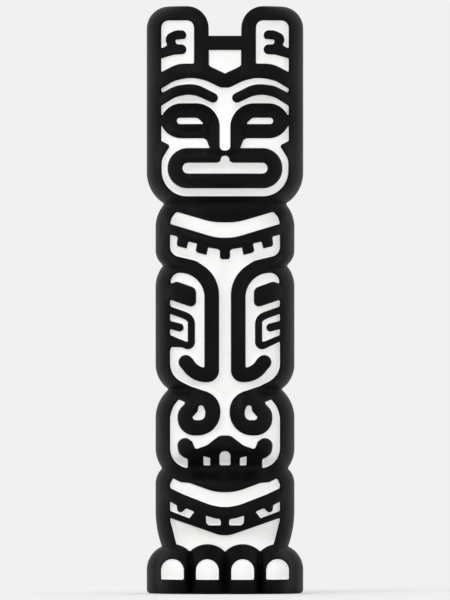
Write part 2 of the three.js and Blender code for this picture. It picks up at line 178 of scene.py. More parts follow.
# The toes are hills too, and the higher of the two counts.
INNER_TOE = (90, 100, 100, 158, 58)
OUTER_TOE = (262, *INNER_TOE[1:])

# Soft ridges across the front: z, bend, x where the bend starts, half height, rise, inner and outer limits.
RIDGES = [
    (2570, -0.0035, 185, 40, 27, (10, 70), (345, 250)),  # brow
    (1785, 0.0011, 0, 38, 19, EVERYWHERE, (330, 250)),  # jaw
    (1859, 0.0011, 0, 30, -16, EVERYWHERE, (330, 250)),  # dish above it
    (765, -0.0006, 0, 40, 30, EVERYWHERE, (300, 220)),  # moustache
    (400, 0.0011, 0, 42, 16, EVERYWHERE, (330, 250)),  # bib
    (1690, 0, 0, 34, -34, (90, 230), (500, 450)),  # joint above the wings
    (1040, 0, 0, 34, -34, (90, 230), (500, 450)),  # joint below the wings
]

# Soft ribs up the front: x, half width, rise, low and high limits.
RIBS = [
    (67, 42, 22, (1080, 1160), (1690, 1560)),  # edge of the wing
    (0, 30, -14, (1060, 1180), (1700, 1600)),  # breast
    (178, 14, -26, EVERYWHERE, (250, 200)),  # gap in the toes
    (0, 14, -19, EVERYWHERE, (250, 200)),  # gap between the feet
]

# Level pads whose sides fall away beyond reach: reach, side, z, half height, flatness, rise.
PADS = [
    (190, 75, 2171, 92, 4, 42),  # lips
    (175, 45, 2171, 36, 2, -46),  # mouth
]

# The nose widens from the brow down to its tip.
NOSE_BROW, NOSE_TIP = 2560, 2280
NOSE_BROW_HALF, NOSE_TIP_HALF = 62, 112
NOSE_RISE = 78
NOSE_POWER = 1.2  # of its section
NOSE_HIGH, NOSE_LOW = (2600, 2290), (2236, 2276)
LEAST_NOSE_HALF = 20  # keeps the formula whole far below the nose and far above it

# The panel between the ears sinks.
CROWN_PANEL_RISE = -16
CROWN_PANEL_SIDE, CROWN_PANEL_LOW = (110, 70), (2640, 2690)

BROAD_FORMS_END = (1, 0.8)  # shares of the half width between which the broad forms fade out


def hill_rise(x, z, centre_x, centre_z, half_x, half_z, rise):
    q = ((x - centre_x) / half_x) ** 2 + ((z - centre_z) / half_z) ** 2
    return np.where(q < 1, rise * (1 - np.minimum(q, 1)) ** 2 * (1 + q), 0)


def ridge_rise(x, z, level, bend, bend_at, half, rise, inner, outer):
    spine = level + bend * (x - bend_at) ** 2
    return rise * np.exp(-(((z - spine) / half) ** 2)) * fade(*inner, x) * fade(*outer, x)


def rib_rise(x, z, centre, half, rise, low, high):
    return rise * np.exp(-(((x - centre) / half) ** 2)) * fade(*low, z) * fade(*high, z)


def pad_rise(x, z, reach, side, level, half, flatness, rise):
    beside = np.maximum(x - reach, 0) / side
    return rise * np.exp(-(beside**2) - np.abs((z - level) / half) ** flatness)


def nose_rise(x, z):
    share = (NOSE_BROW - z) / (NOSE_BROW - NOSE_TIP)
    half = np.maximum(NOSE_BROW_HALF + share * (NOSE_TIP_HALF - NOSE_BROW_HALF), LEAST_NOSE_HALF)
    section = np.maximum(1 - (x / half) ** 2, 0) ** NOSE_POWER
    return NOSE_RISE * section * fade(*NOSE_HIGH, z) * fade(*NOSE_LOW, z)


def broad_forms(x, z):
    """What all the broad forms add to the depth of the front."""
    hills = sum(hill_rise(x, z, *form) for form in HILLS)
    toes = np.maximum(hill_rise(x, z, *INNER_TOE), hill_rise(x, z, *OUTER_TOE))
    ridges = sum(ridge_rise(x, z, *form) for form in RIDGES)
    ribs = sum(rib_rise(x, z, *form) for form in RIBS)
    pads = sum(pad_rise(x, z, *form) for form in PADS)
    crown_panel = CROWN_PANEL_RISE * fade(*CROWN_PANEL_SIDE, x) * fade(*CROWN_PANEL_LOW, z)
    return hills + toes + ridges + ribs + pads + nose_rise(x, z) + crown_panel


def front(x, z, inset, end_depth):
    """Depth of the front, drawn in by inset all round, which comes down to end_depth at its side."""
    share = np.clip(x / (half_width(z) - inset), 0, 1)
    depth = along(FRONT_STATIONS, z) - inset
    reach = 1 - (end_depth / depth) ** PLAN_POWER
    plan = depth * np.maximum(1 - reach * share**PLAN_POWER, 0) ** (1 / PLAN_POWER)
    return plan + broad_forms(x, z) * fade(*BROAD_FORMS_END, share)


# ---------------------------------------------------------------- the carved design
# A corner is (x, z) or (x, z, radius). Each outline runs from corner to corner and is rounded at each.
ARC_STEP = math.radians(8)
ALMOST_STRAIGHT = 0.02  # radians; a corner that turns less stays a point


def outline(corners):
    """Points of an outline. Each rounded corner is a true arc, smaller where a neighbour is too near."""
    points = []
    count = len(corners)
    for i, corner in enumerate(corners):
        here = np.array(corner[:2], float)
        before = np.array(corners[i - 1][:2], float) - here
        after = np.array(corners[(i + 1) % count][:2], float) - here
        radius = corner[2] if len(corner) > 2 else 0
        reach = np.linalg.norm(before) * np.linalg.norm(after)
        turn = math.pi - math.acos(max(-1.0, min(1.0, float(before @ after) / reach)))
        if not radius or turn < ALMOST_STRAIGHT:
            points.append(here)
            continue
        run = min(radius * math.tan(turn / 2), np.linalg.norm(before), np.linalg.norm(after))
        start = here + before / np.linalg.norm(before) * run
        end = here + after / np.linalg.norm(after) * run
        weight = math.cos(turn / 2)
        for t in np.linspace(0, 1, max(math.ceil(turn / ARC_STEP), 2) + 1):
            a, b, c = (1 - t) ** 2, 2 * t * (1 - t) * weight, t**2
            points.append((a * start + b * here + c * end) / (a + b + c))
    return np.array(points)


def across_middle(*corners):
    """Half an outline, from the middle to the middle, mirrored to the other side."""
    return outline([*corners, *[(-c[0], *c[1:]) for c in reversed(corners) if c[0] > 0]])


def right_side(*corners):
    """An outline on the right, which ink() reads on both sides."""
    return outline(corners)


def disc(x, z, radius):
    angle = np.arange(0, 2 * math.pi, ARC_STEP)
    return np.stack([x + radius * np.cos(angle), z + radius * np.sin(angle)], 1)


def bar(start, end, width):
    """A bar with one round end, at its start."""
    start, end = np.array(start, float), np.array(end, float)
    dx, dz = (end - start) / np.linalg.norm(end - start) * width / 2
    half = width / 2
    return outline([
        (start[0] - dx - dz, start[1] - dz + dx, half), (start[0] - dx + dz, start[1] - dz - dx, half),
        (end[0] + dz, end[1] - dx), (end[0] - dz, end[1] + dx),
    ])


def nail(x):
    half, bottom, top = 59, 73, 179
    round_top = half - 1
    return right_side(
        (x - half, bottom), (x + half, bottom), (x + half, top, round_top), (x - half, top, round_top),
    )


# The outlines are cut out and laid on in this order: white ground out of the black, formlines on the ground,
# white again inside the formlines, and marks on that.
GROUND = [
    right_side(
        (157, 2704), (157, 2927, 38), (HEAD_INNER, 2927, 38), (HEAD_INNER, 2661), (243, 2704, 150),
    ),  # ear
    across_middle((0, CROWN_BOTTOM), (EAR_INNER, CROWN_BOTTOM), (EAR_INNER, 2693), (0, 2653)),  # crown
    across_middle(
        (0, 2583), (22, 2583, 50), (92, 2617, 120), (170, 2638, 200), (262, 2617, 120), (HEAD_INNER, 2578),
        (HEAD_INNER, 2311), (280, 2287), (324, 2218, 80), (324, 2028, 130), (0, 2028),
    ),  # face
    across_middle(
        (0, 1896), (62, 1896, 300), (248, 1951, 16), (273, 1921, 60), (BODY_INNER, 1887), (45, 1816, 240),
        (0, 1816),
    ),  # collar
    across_middle(
        (0, 1757), (27, 1758), (88, 1768), (146, 1789), (190, 1799), (246, 1825), (BODY_INNER, 1834),
        (BODY_INNER, 1111, 103), (178, 1059, 150), (96, 1032), (0, 1032),
    ),  # breast and wings
    across_middle(
        (0, 1060), (60, 1060), (100, 1030), (150, 957), (196, 976), (236, 993), (262, 961, 60),
        (275, 930, 60), (BODY_INNER, 900), (BODY_INNER, 640, 102), (0, 640),
    ),  # snout
    across_middle(
        (0, 520), (50, 520, 250), (180, 567, 40), (226, 571, 30), (266, 591, 5), (BODY_INNER, 559),
        (BODY_INNER, 539), (210, 506, 200), (70, 452, 200), (20, 443.5), (0, 443.5),
    ),  # bib
    across_middle(
        (0, 300), (28, 301, 100), (BODY_INNER, 389), (BODY_INNER, 377), (248, 248), (200, 190), (0, 190),
    ),  # apron
]

FORMLINES = [
    right_side(
        (222, 2754), (222, 2875), (252, 2875, 50), (292, 2856, 25), (305, 2829, 30), (293, 2800, 6),
        (340, 2772), (340, 2729), (260, 2752, 60),
    ),  # ear curl
    disc(222, 2851, 24),  # its upper tip
    disc(222, 2778, 24.5),  # its lower tip
    right_side(
        (29, 2541, 23), (50, 2499, 23), (140, 2540.5, 120), (190, 2549, 120), (255, 2535, 120),
        (345, 2479), (345, 2544.5), (252, 2591.5, 120), (188, 2599, 150), (140, 2597, 140),
    ),  # brow
    right_side(
        (NOSE_HALF, 2502, 120), (282, 2502, 108), (338, 2413), (281, 2325, 108), (93, 2325, 26),
        (87, 2298), (74, 2268), (74, 2240), (NOSE_HALF, 2240),
    ),  # eye and side of the nose
    across_middle((0, 2273), (292, 2273, 101), (292, 2070, 99), (0, 2070)),  # lips
    across_middle((0, 1790), (25, 1790), (25, 1708), (0, 1708)),  # middle tooth of the collar
    right_side((82, 1790), (95, 1730), (150, 1744), (139, 1800)),  # inner tooth
    right_side((183, 1820), (196, 1763), (246, 1776), (237, 1850)),  # outer tooth
    right_side(
        (310, 1772), (BODY_INNER, 1772), (BODY_INNER, 1730, 51), (148, 1698.5, 80), (STEM_HALF, 1621, 178),
        (STEM_HALF, 1081, 60), (156, 1081, 140), (222, 1148, 140), (233, 1183), (200, 1190),
        (169, 1204), (143, 1165, 70), (STEM_HALF + LINE, 1152), (STEM_HALF + LINE, 1640, 125),
        (266, 1638.5, 47), (284, 1575), (310, 1575),
    ),  # wing edge
    disc(200, 1182, 36),  # its tip
    right_side((148, 1457, 26), (148, 1558, 32), (245, 1593, 30), (300, 1575), (300, 1508)),  # wing eye
    right_side((300, 1473), (154, 1421, 62), (154, 1250, 36), (197, 1249, 25), (300, 1298)),  # feather
    outline([
        (-300, 1304), (-300, 1230), (-BODY_INNER, 1240), (-275, 1260.5, 8), (-221, 1259, 60),
        (-190, 1250), (-190, 1262),
    ]),  # level foot of the left feather
    right_side(
        (112, 1037), (24.5, 1008, 101), (24.5, 810, 115), (241, 809, 86), (241, 934, 73), (196, 977),
        (150, 1040),
    ),  # nostril
    across_middle(
        (0, 808), (28, 808, 50), (92, 758, 70), (152, 737, 12), (168, 778), (204, 770), (241, 742),
        (234, 716, 20), (206, 694, 14), (189, 692), (189, 600), (0, 600),
    ),  # moustache
    disc(203.5, 756, 38.5),  # its tip
    disc(90, 128, 125),  # inner toe
    disc(269, 128, 125),  # outer toe
]

INNER_GROUND = [
    right_side((190, 2803), (254, 2803, 16), (254, 2828, 8), (190, 2834)),  # ear slot
    right_side((104, 2396, 5), (247, 2396, 16), (247, 2430, 16), (139, 2430, 30)),  # eye slot
    across_middle((0, 2300), (NOSE_HALF, 2300), (NOSE_HALF, 2260, 22), (0, 2260)),  # tip of the nose
    across_middle((0, 2200), (218, 2200, 28), (218, 2143, 28), (0, 2143)),  # mouth
    across_middle((0, 2236), (24, 2236, 23), (24, 2207), (46, 2199), (0, 2190)),  # notch of the lip
    right_side(
        (BODY_INNER, 1430), (225, 1410), (189, 1394, 10), (189, 1282), (BODY_INNER, 1320),
    ),  # inside of the feather
    right_side(
        (100, 886, 30), (157, 886, 15), (170, 899, 4), (139, 934, 15), (136, 963, 12), (112, 963, 12),
        (100, 938, 30),
    ),  # nostril
    across_middle((0, 730), (29, 730, 28), (29, 655), (0, 655)),  # middle tooth
    right_side((75, 655), (111, 655), (111, 704), (75, 696)),  # side tooth
    right_side(
        (154, 421), (198, 438, 5), (219, 419, 8), (236, 417, 10), (243, 430), (245, 453, 6),
        (BODY_INNER, 472), (BODY_INNER, 422), (181, 385),
    ),  # side pendant of the bib
    right_side((20, 382), (55, 388), (98, 401), (97, 349, 20), (20, 349)),  # middle pendant
    *[nail(x) for x in (90, 268)],
]

MARKS = [bar((231, 1359), (310, 1380), 39)]  # dash in the feather

FAR = 60  # distances from an outline are kept up to this


def inside_by(points, polygon):
    """How far points lie inside a polygon, or outside as a negative number."""
    lowest, highest = polygon.min(0) - FAR, polygon.max(0) + FAR
    near = np.flatnonzero(np.all((points > lowest) & (points < highest), axis=1))
    result = np.full(len(points), -float(FAR))
    if not len(near):
        return result
    p = points[near]
    closest = np.full(len(p), float(FAR) ** 2)
    within = np.zeros(len(p), bool)
    for a, b in zip(polygon, np.roll(polygon, -1, axis=0)):
        edge, offset = b - a, p - a
        t = np.clip(offset @ edge / max(edge @ edge, 1e-9), 0, 1)
        closest = np.minimum(closest, ((offset - t[:, None] * edge) ** 2).sum(1))
        crosses = (a[1] > p[:, 1]) != (b[1] > p[:, 1])
        rise = edge[1] if abs(edge[1]) > 1e-9 else 1e-9
        within ^= crosses & (offset[:, 0] < offset[:, 1] / rise * edge[0])
    distance = np.sqrt(closest)
    result[near] = np.where(within, distance, -distance)
    return result


def ink(x, z):
    """How far a point on the front lies inside the black, or outside as a negative number."""
    either_side, as_placed = np.stack([np.abs(x), z], 1), np.stack([x, z], 1)
    value = np.full(len(x), float(FAR))
    for shapes, sign in ((GROUND, -1), (FORMLINES, 1), (INNER_GROUND, -1), (MARKS, 1)):
        for polygon in shapes:
            only_on_the_left = polygon[:, 0].max() < 0
            inside = inside_by(as_placed if only_on_the_left else either_side, polygon)
            value = np.maximum(value, inside) if sign > 0 else np.minimum(value, -inside)
    return value + PAINT_OVER


# ---------------------------------------------------------------- contours cut into the mesh
SLOPE_STEP = 0.5  # how far either side the slope of the distance is read
LEAST_SLOPE_SQUARED = 0.5  # less is a crease between two outlines, where no vertex is moved
EDGE_MARGIN = 0.02  # share of an edge that a new vertex keeps from either end


def cut_contour(x, z, value, pinned, triangles, level, snap):
    """Moves vertices nearer than snap on to the contour, and splits the triangles that still cross it."""
    f = value - level
    near = np.flatnonzero((np.abs(f) < snap) & ~pinned)
    step = SLOPE_STEP
    slope_x = (ink(x[near] + step, z[near]) - ink(x[near] - step, z[near])) / (2 * step)
    slope_z = (ink(x[near], z[near] + step) - ink(x[near], z[near] - step)) / (2 * step)
    steep = slope_x**2 + slope_z**2
    good = steep > LEAST_SLOPE_SQUARED
    near, slope_x, slope_z, steep = near[good], slope_x[good], slope_z[good], steep[good]
    x, z, value, pinned = x.copy(), z.copy(), value.copy(), pinned.copy()
    x[near] -= f[near] * slope_x / steep
    z[near] -= f[near] * slope_z / steep
    value[near], pinned[near] = level, True
    f = value - level
    f[np.abs(f) < 1e-9] = 0

    edges = np.sort(triangles[:, [[0, 1], [1, 2], [2, 0]]].reshape(-1, 2), axis=1)
    edges = edges[f[edges[:, 0]] * f[edges[:, 1]] < 0]
    edges = np.unique(edges, axis=0)
    a, b = edges.T
    t = f[a] / (f[a] - f[b])
    guess = ink(x[a] + t * (x[b] - x[a]), z[a] + t * (z[b] - z[a])) - level
    same = np.sign(guess) == np.sign(f[a])
    t0, f0 = np.where(same, t, 0), np.where(same, guess, f[a])
    t1, f1 = np.where(same, 1, t), np.where(same, f[b], guess)
    t = np.clip(t0 + (t1 - t0) * f0 / np.where(f0 == f1, 1, f0 - f1), EDGE_MARGIN, 1 - EDGE_MARGIN)
    start = len(x)
    x = np.concatenate([x, x[a] + t * (x[b] - x[a])])
    z = np.concatenate([z, z[a] + t * (z[b] - z[a])])
    value = np.concatenate([value, np.full(len(a), float(level))])
    pinned = np.concatenate([pinned, np.ones(len(a), bool)])
    middle = {(int(i), int(j)): start + n for n, (i, j) in enumerate(edges)}

    side = np.sign(f[triangles]).astype(int)
    crossing = (side.max(1) > 0) & (side.min(1) < 0)
    made = []
    for triangle, sides in zip(triangles[crossing].tolist(), side[crossing].tolist()):
        if 0 in sides:
            k = sides.index(0)
            p, q, r = triangle[k], triangle[(k + 1) % 3], triangle[(k + 2) % 3]
            m = middle[(min(q, r), max(q, r))]
            made += [(p, q, m), (p, m, r)]
            continue
        k = next(k for k in range(3) if sides.count(sides[k]) == 1)
        p, q, r = triangle[k], triangle[(k + 1) % 3], triangle[(k + 2) % 3]
        m, n = middle[(min(p, q), max(p, q))], middle[(min(p, r), max(p, r))]
        made.append((p, m, n))
        if math.hypot(x[m] - x[r], z[m] - z[r]) < math.hypot(x[q] - x[n], z[q] - z[n]):
            made += [(m, q, r), (m, r, n)]
        else:
            made += [(m, q, n), (q, r, n)]
    return x, z, value, pinned, np.concatenate([triangles[~crossing], np.array(made, int)])


# Section of a formline, by the distance into it: a steep wall, which ends at 0 where the paint starts, a
# rounded shoulder and a slightly full top. Each takes a share of the relief.
WALL_START, SHOULDER_END, FULL_END = -7, 12, 40
WALL_SHARE, SHOULDER_SHARE, FULL_SHARE = 0.6, 0.32, 0.08
WALL_POWER = 0.8


def quarter_round(t):
    return np.sqrt(1 - (1 - np.clip(t, 0, 1)) ** 2)


def relief_at(value):
    """Height of the carving as a share of the relief."""
    wall = np.clip((value - WALL_START) / -WALL_START, 0, 1) ** WALL_POWER
    shoulder, full = quarter_round(value / SHOULDER_END), quarter_round(value / FULL_END)
    return WALL_SHARE * wall + SHOULDER_SHARE * shoulder + FULL_SHARE * full


# ---------------------------------------------------------------- the front
FOOT_ROWS = [0, 2, 6, 12, FOOT_ROUND]
EAR_ROUND_TURNS = np.arange(7.5, 91, 7.5)  # degrees
USUAL_HALF, USUAL_DEPTH = 370, 350
PLAN_SAMPLES = 2000
SNAP = ROW_STEP * 0.2  # vertices this near a contour are moved on to it


def row_heights():
    """Heights of the rows of points: close at the foot, then even, and by even turns round the ears."""
    straight_top = HEIGHT - EAR_ROUND
    body = np.linspace(FOOT_ROUND, straight_top, round((straight_top - FOOT_ROUND) / ROW_STEP))[1:]
    arc = straight_top + EAR_ROUND * np.sin(np.radians(EAR_ROUND_TURNS))
    return np.concatenate([FOOT_ROWS, body, arc])


def even_shares(count):
    """Shares of the half width that step evenly along the plan curve of the usual width and depth."""
    share = np.sin(np.linspace(0, math.pi / 2, PLAN_SAMPLES))
    reach = 1 - (-BAND_REAR / USUAL_DEPTH) ** PLAN_POWER
    depth = USUAL_DEPTH * (1 - reach * share**PLAN_POWER) ** (1 / PLAN_POWER)
    step = np.hypot(np.diff(share * USUAL_HALF), np.diff(depth))
    length = np.concatenate([[0], np.cumsum(step)])
    return np.interp(np.linspace(0, length[-1], count + 1), length, share)


def front_sheet(z_rows):
    """Grid over the front with the edges of the formlines cut into it.

    Gives x, z, how far inside the black each point is, the triangles, and the count of points in a row.
    """
    shares = even_shares(FRONT_COLUMNS)
    shares = np.concatenate([-shares[:0:-1], shares])
    x = (half_width(z_rows)[:, None] * shares[None, :]).ravel()
    z = np.repeat(z_rows, len(shares))
    across, up = len(shares), len(z_rows)
    a = (np.arange(up - 1)[:, None] * across + np.arange(across - 1)[None, :]).ravel()
    b, c, d = a + 1, a + across + 1, a + across
    right = x[a] + x[b] > 0
    triangles = np.concatenate([
        np.stack([a, b, c], 1)[right], np.stack([a, c, d], 1)[right],
        np.stack([a, b, d], 1)[~right], np.stack([b, c, d], 1)[~right],
    ])
    value = ink(x, z)
    pinned = np.zeros(len(x), bool)
    for level in (0, WALL_START, SHOULDER_END, SHOULDER_END / 3):
        x, z, value, pinned, triangles = cut_contour(x, z, value, pinned, triangles, level, SNAP)
    return x, z, value, triangles, across


# ---------------------------------------------------------------- the rear
# Drying checks, the cracks that open along the rear of a log: turn in degrees from the right side round the
# rear, foot, top, half width, depth.
CHECKS = [
    (78, 1120, 2760, 5.5, 34),
    (118, 300, 1420, 4, 24),
    (44, 1750, 2560, 3, 18),
    (139, 2060, 2700, 2.5, 15),
    (61, 240, 830, 2.5, 15),
]
CHECK_LIPS = 2  # the wood beside a check is held flat for this many of its half widths
LEAST_OPENING = 0.3  # half width of a check where it has closed

EDGE_TURNS = (30, 60, 90)  # degrees of the rounding of the outline formline's rear edge
EDGE_CLEAR = 1  # from the end of that rounding to the ground behind it
BAND_STRIPS = len(EDGE_TURNS) + 1  # strips of faces, from each side of the front, that belong to the formline

ADZE_WIDTH, ADZE_LENGTH = 46, 92
ADZE_DEPTH = 1.9  # of a cut at its deepest, before the lift
ADZE_LIFT = 0.8  # of the whole rear, so that the cuts take little off on average
ADZE_FOOT, ADZE_SIDE = (0, 40), (BAND_REAR / 2, BAND_REAR / 2 + 60)  # they fade out at the foot and the sides


def rear_turns(z_rows):
    """Turns round the rear in radians, and how far each point sinks into a check: both rows, columns."""
    even = np.linspace(0, math.pi, REAR_COLUMNS + 1)
    turns, sunk = [], []
    for check in CHECKS:
        turn, foot, top, half, depth = math.radians(check[0]), *check[1:]
        run = np.clip((z_rows - (foot + top) / 2) / ((top - foot) / 2), -1, 1)
        ragged = 0.8 + 0.2 * np.sin(z_rows / 37 + turn * 9)
        open_by = np.maximum(np.sqrt(1 - run**2) * half * ragged, LEAST_OPENING)
        even = even[np.abs(even - turn) > (CHECK_LIPS + 1) * half / HEAD_HALF]
        for side in (-CHECK_LIPS, -1, 0, 1, CHECK_LIPS):
            turns.append(turn + side * open_by / (HEAD_HALF - RELIEF))
            sunk.append(np.where(side == 0, depth * (1 - run**2), 0) + 0 * z_rows)
    turns += [turn + 0 * z_rows for turn in even]
    sunk += [0 * z_rows for _ in even]
    order = np.argsort([turn.mean() for turn in turns])
    turns, sunk = np.stack(turns, 1)[:, order], np.stack(sunk, 1)[:, order]
    # All the columns wander a little, as the grain does.
    wander = 0.008 * np.sin(z_rows / 290) + 0.004 * np.sin(z_rows / 71 + 1)
    return turns + wander[:, None] * np.sin(turns) ** 2, sunk


def rear_columns(z_rows):
    """Plan points from the right edge of the front, round the rear, to the left edge: shape rows, columns, 2.

    The second result says how far each of them sinks into a drying check.
    """
    half, depth = half_width(z_rows), along(FRONT_STATIONS, z_rows)
    columns = []
    for turn in EDGE_TURNS:
        angle = math.radians(turn)
        y = BAND_REAR + EDGE_ROUND * math.sin(angle)
        columns.append((half - EDGE_ROUND * (1 - math.cos(angle)), y + 0 * half))
    ground_half = half - RELIEF
    for y in (BAND_REAR + EDGE_ROUND + EDGE_CLEAR, BAND_REAR / 2, BAND_REAR / 4):
        plan = (1 - (-y / (depth - RELIEF)) ** PLAN_POWER) ** (1 / PLAN_POWER)
        columns.append((ground_half * plan, y + 0 * half))
    rear_depth = along(REAR_STATIONS, z_rows) - RELIEF
    turns, sunk = rear_turns(z_rows)
    c, s = np.cos(turns), np.maximum(np.sin(turns), 0)
    rear = np.stack([
        ground_half[:, None] * np.sign(c) * np.abs(c) ** (2 / REAR_POWER),
        rear_depth[:, None] * s ** (2 / REAR_POWER),
    ], 2)
    right = np.stack([np.stack(column, 1) for column in columns], 1)
    left = right[:, ::-1] * (-1, 1)
    beside = np.zeros((len(z_rows), len(columns)))
    return np.concatenate([right, rear, left], 1), np.concatenate([beside, sunk, beside], 1)


def random_of(*cells):
    """A repeatable number from 0 to 1 for each cell."""
    factors, spread = (127.1, 311.7), 43758.5453
    mixed = sum(np.sin(cell * factor) for cell, factor in zip(cells, factors))
    return np.modf(np.abs(mixed) * spread)[0]


def adze_marks(along_plan, z):
    """Depth of the shallow cuts that an adze leaves, in staggered columns."""
    column = np.floor(along_plan / ADZE_WIDTH)
    offset = random_of(column, column * 0 + 3) * ADZE_LENGTH
    row = np.floor((z + offset) / ADZE_LENGTH)
    across = (along_plan / ADZE_WIDTH - column) * 2 - 1 + (random_of(column, row) - 0.5) * 0.3
    up = ((z + offset) / ADZE_LENGTH - row) * 2 - 1
    hollow = 1 - across**2 * 0.9
    deeper_below = 0.45 + 0.55 * np.clip((1 - up) / 2, 0, 1)
    return ADZE_DEPTH * hollow * deeper_below - ADZE_LIFT


# ---------------------------------------------------------------- the mesh
BLACK, WHITE, BARE = 0, 1, 2  # material slots


def pole_mesh():
    """Vertices in metres, faces and their material slots: front, rear, foot and top as one closed skin."""
    z_rows = row_heights()

    # The front lies between its raised and its ground surface, and its sides at the formline's rear edge.
    x, z, value, triangles, across = front_sheet(z_rows)
    raised = front(np.abs(x), z, 0, -BAND_REAR)
    ground = front(np.abs(x), z, RELIEF, 0)
    y = -(ground + (raised - ground) * relief_at(value))
    edge_left = np.arange(len(z_rows)) * across
    edge_right = edge_left + across - 1
    y[edge_left] = y[edge_right] = BAND_REAR

    # The rear sinks into its adze marks and checks, along its normal.
    plan, sunk = rear_columns(z_rows)
    rows, columns = plan.shape[:2]
    steps = np.hypot(*np.moveaxis(np.diff(plan, axis=1), 2, 0))
    length = np.concatenate([np.zeros((rows, 1)), np.cumsum(steps, 1)], 1)
    length -= length[:, -1:] / 2
    tangent = np.gradient(plan, axis=1)
    normal = np.stack([tangent[..., 1], -tangent[..., 0]], -1)
    normal /= np.linalg.norm(normal, axis=-1, keepdims=True)
    z_grid = np.repeat(z_rows[:, None], columns, 1)
    ease = fade(*ADZE_FOOT, z_grid) * fade(*ADZE_SIDE, plan[..., 1])
    plan = plan - normal * (adze_marks(length, z_grid) * ease + sunk)[..., None]

    # Each row of the rear joins on to the two ends of the same row of the front.
    first = len(x)
    vertices = np.concatenate([
        np.stack([x, y, z], 1), np.concatenate([plan.reshape(-1, 2), z_grid.reshape(-1, 1)], 1),
    ])
    rear = first + np.arange(rows * columns).reshape(rows, columns)
    ring = np.concatenate([edge_right[:, None], rear, edge_left[:, None]], 1)
    a, b = ring[:-1, :-1].ravel(), ring[:-1, 1:].ravel()
    c, d = ring[1:, 1:].ravel(), ring[1:, :-1].ravel()
    quads = np.stack([a, b, c, d], 1)
    bottom = [*range(across), *rear[0]]
    top = [*range((rows - 1) * across, rows * across), *rear[-1]]
    faces = [*triangles.tolist(), *quads.tolist(), bottom[::-1], top]
    inked = value[triangles].mean(1) > 0
    strip = np.arange(columns + 1)
    band = np.tile((strip < BAND_STRIPS) | (strip > columns - BAND_STRIPS), rows - 1)
    slots = np.concatenate([np.where(inked, BLACK, WHITE), np.where(band, BLACK, BARE), [BARE, BLACK]])
    return vertices * SCALE, faces, slots


# ---------------------------------------------------------------- the object
BEYOND, ABOVE = 900, HEIGHT + 200  # past every side of the log, and past its top
QUARTER_POINTS = 13
EAR_BACK_FOOT, EAR_BACK_TIP = 100, -66  # y of the ears' rounded back, level with the crown and at their tips
SHARP_TURN = math.radians(38)  # an edge that turns more than this stays sharp


def object_of(name, vertices, faces, slots, materials):
    """A mesh in the scene, with a material slot for each face."""
    mesh = bpy.data.meshes.new(name)
    mesh.from_pydata(vertices, [], faces)
    for material in materials:
        mesh.materials.append(material)
    mesh.polygons.foreach_set("material_index", np.asarray(slots, np.int32))
    mesh.validate()
    thing = bpy.data.objects.new(name, mesh)
    bpy.context.scene.collection.objects.link(thing)
    return thing


def prism(name, points, to_space, materials):
    """A cutter on an outline, as long as the log is wide and more; to_space(u, v, w) places its points."""
    count = len(points)
    vertices = [to_space(u, v, w) for w in (-BEYOND, BEYOND) for u, v in points]
    faces = [[i, (i + 1) % count, (i + 1) % count + count, i + count] for i in range(count)]
    faces += [list(range(count))[::-1], list(range(count, 2 * count))]
    thing = object_of(name, np.array(vertices) * SCALE, faces, [BARE] * len(faces), materials)
    bm = bmesh.new()
    bm.from_mesh(thing.data)
    bmesh.ops.recalc_face_normals(bm, faces=bm.faces)
    bm.to_mesh(thing.data)
    bm.free()
    return thing


def cut_away(thing, cutter):
    """Takes the cutter's space out of the thing, and removes the cutter."""
    modifier = thing.modifiers.new("cut", "BOOLEAN")
    modifier.operation, modifier.solver, modifier.object = "DIFFERENCE", "MANIFOLD", cutter
    with bpy.context.temp_override(object=thing, active_object=thing):
        bpy.ops.object.modifier_apply(modifier=modifier.name)
    bpy.data.objects.remove(cutter)


def shape_ears(thing, materials):
    """Cuts the gap between the ears, and rounds them off behind."""
    quarter = np.linspace(0, math.pi / 2, QUARTER_POINTS)
    shoulder = [
        (EAR_INNER + EAR_ROUND * (1 - math.cos(a)), HEIGHT - EAR_ROUND * (1 - math.sin(a))) for a in quarter
    ]
    right = [(EAR_INNER, CROWN_TOP), *shoulder, (EAR_INNER + EAR_ROUND, ABOVE)]
    left = [(-u, v) for u, v in reversed(right)]
    cut_away(thing, prism("gap", [*left, *right], lambda u, v, w: (u, w, v), materials))
    foot, tip, rise = EAR_BACK_FOOT, EAR_BACK_TIP, HEIGHT - CROWN_TOP
    back = [(tip + (foot - tip) * math.cos(a), CROWN_TOP + rise * math.sin(a)) for a in quarter]
    back = [(BEYOND, CROWN_TOP), *back, (tip, ABOVE), (BEYOND, ABOVE)]
    cut_away(thing, prism("behind", back, lambda u, v, w: (w, u, v), materials))


def paint_ears(thing):
    """Carries the black outline over the ears' tops and inner sides as far back as it goes round the head."""
    bm = bmesh.new()
    bm.from_mesh(thing.data)
    above = (CROWN_TOP - 1) * SCALE
    cut = [f for f in bm.faces if f.material_index == BARE and min(v.co.z for v in f.verts) > above]
    parts = list({*cut, *(e for f in cut for e in f.edges), *(v for f in cut for v in f.verts)})
    bmesh.ops.bisect_plane(bm, geom=parts, dist=1e-6, plane_co=(0, BAND_REAR * SCALE, 0), plane_no=(0, 1, 0))
    for face in bm.faces:
        centre = face.calc_center_median()
        if face.material_index == BARE and centre.z > above and centre.y < BAND_REAR * SCALE:
            face.material_index = BLACK
    bm.to_mesh(thing.data)
    bm.free()


def shade_smooth(thing):
    """Smooth shading, but for the edges that turn more than SHARP_TURN."""
    bm = bmesh.new()
    bm.from_mesh(thing.data)
    for face in bm.faces:
        face.smooth = True
    for edge in bm.edges:
        edge.smooth = len(edge.link_faces) == 2 and edge.calc_face_angle(0) < SHARP_TURN
    bm.to_mesh(thing.data)
    bm.free()


